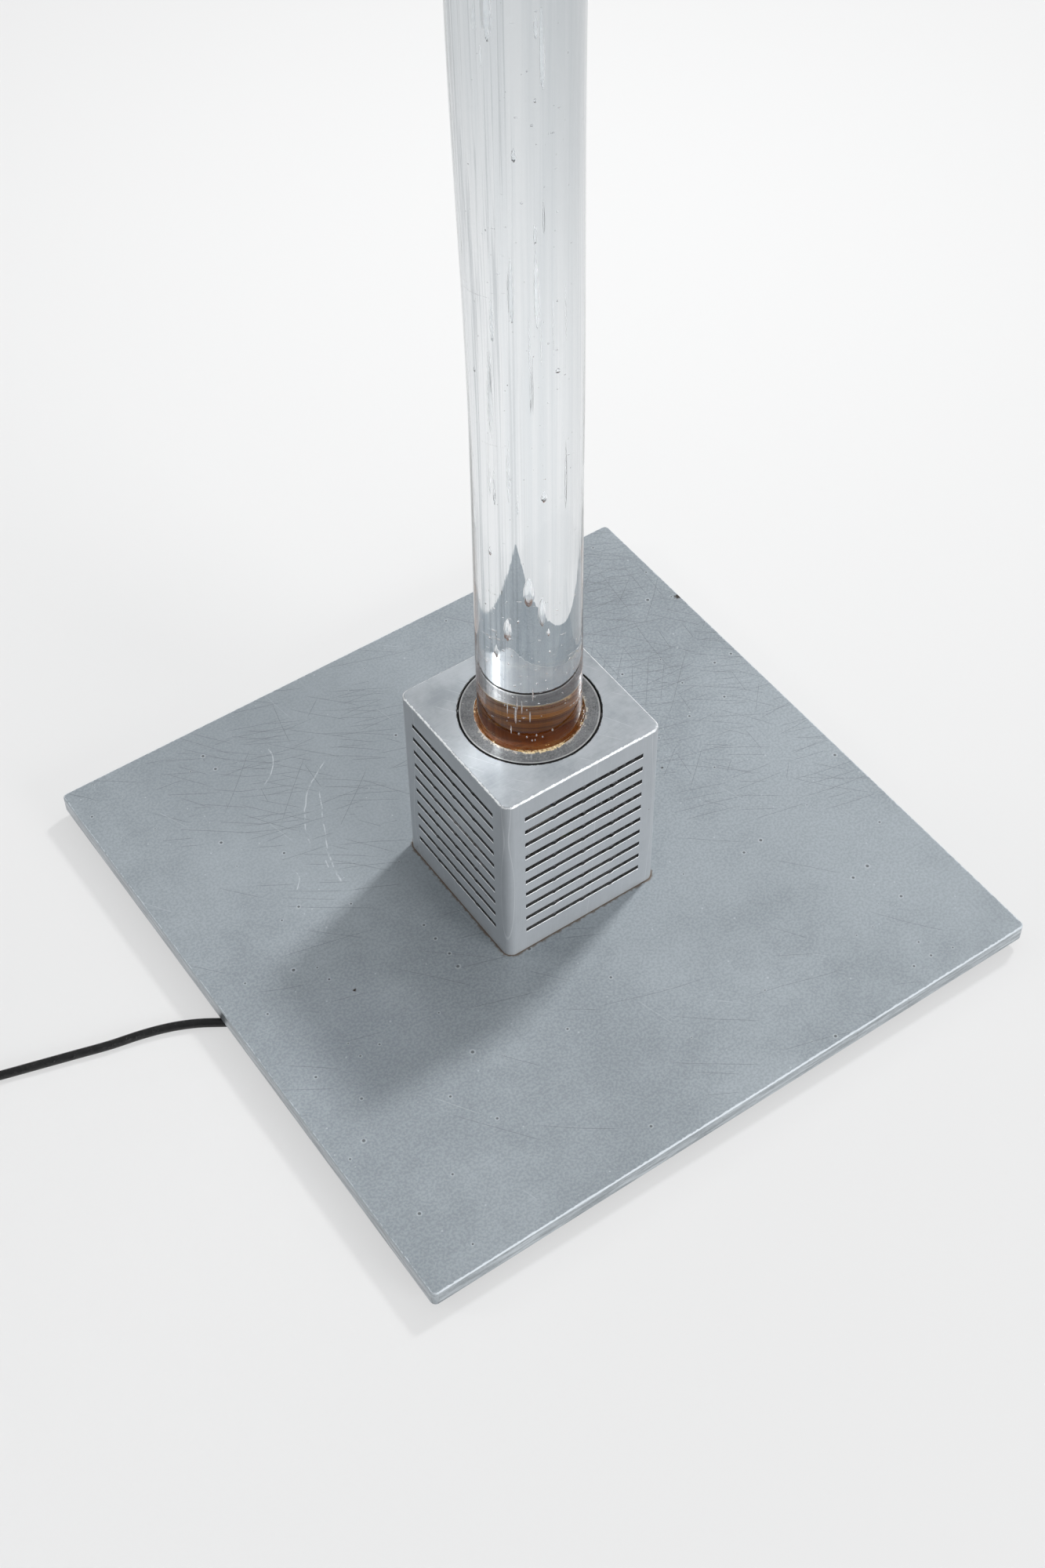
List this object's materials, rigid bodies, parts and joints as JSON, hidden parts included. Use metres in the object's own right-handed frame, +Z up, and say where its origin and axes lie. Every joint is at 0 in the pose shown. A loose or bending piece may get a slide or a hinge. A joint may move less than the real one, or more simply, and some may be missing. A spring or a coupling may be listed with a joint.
{
  "type": "floor lamp",
  "caption": "Floor lamp: a solid clear rod with drawn-out bubbles stands in a turned collar in a slotted square housing on a square steel plate, with a mains lead.",
  "frame": {"origin": "on the floor below the middle of the base plate", "axes": "+Z up along the rod; X and Y square to the plate's sides; the lead leaves towards -X"},
  "size_m": [0.8593, 0.5, 1.8],
  "materials": {
    "plate_steel": "grey, fine mottled grain, scuffed and scratched",
    "housing_aluminium": "satin anodised, bright broken edges",
    "collar_steel": "turned, darkened and burnished",
    "frame_steel": "zinc plated",
    "fastener_steel": "zinc plated",
    "plug_nickel": "nickel plated",
    "brass": "plain",
    "rubber": "matt",
    "lead_sheath": "satin, dusty",
    "amber_resin": "clear amber, glossy",
    "clear_rod": "polished, full of drawn-out air bubbles",
    "bulb_glass": "pressed glass with a mirrored back",
    "porcelain": "glazed",
    "block_plastic": "moulded",
    "switch_plastic": "fine texture",
    "button_plastic": "smooth",
    "core_brown": "smooth",
    "core_blue": "smooth",
    "core_green": "green with a yellow stripe"
  },
  "bodies": {
    "lamp": {"base_plate": "plate_steel", "base_feet": "rubber", "foot_screws": "fastener_steel", "centring_flange": "frame_steel", "collar_pillars": "frame_steel", "pillar_screws": "fastener_steel", "collar_studs": "fastener_steel", "collar": "collar_steel", "seat_ring": "rubber", "resin_seat": "amber_resin", "bubble_rod": "clear_rod", "reflector_bulb": "bulb_glass", "bulb_pins": "fastener_steel", "lampholder": "porcelain", "holder_bracket": "frame_steel", "bracket_screws": "fastener_steel", "holder_screws": "fastener_steel", "terminal_block": "block_plastic", "terminal_screws": "brass", "wire_live": "core_brown", "wire_neutral": "core_blue", "wire_earth": "core_green", "earth_screw": "brass", "cable_grommet": "rubber", "cord_tail": "lead_sheath", "cord_clamp": "frame_steel", "clamp_screws": "fastener_steel", "cord_lead": "lead_sheath", "switch_base": "switch_plastic", "switch_cover": "switch_plastic", "switch_module": "block_plastic", "switch_screws": "fastener_steel", "switch_boots": "rubber", "cord_link": "lead_sheath", "cord_coil": "lead_sheath", "cord_end": "lead_sheath", "plug_body": "rubber", "plug_pins": "plug_nickel", "plug_earth_clips": "brass"},
    "housing_cover": {"housing": "housing_aluminium"},
    "foot_button": {"switch_button": "button_plastic"}
  },
  "joints": [
    {"name": "housing_lift", "type": "slide", "parent": "lamp", "child": "housing_cover", "axis": [0, 0, 1], "range_m": [0, 0.25]},
    {"name": "button_press", "type": "slide", "parent": "lamp", "child": "foot_button", "axis": [0, 0, -1], "range_m": [0, 0.003], "stiffness_N_per_m": 500}
  ]
}
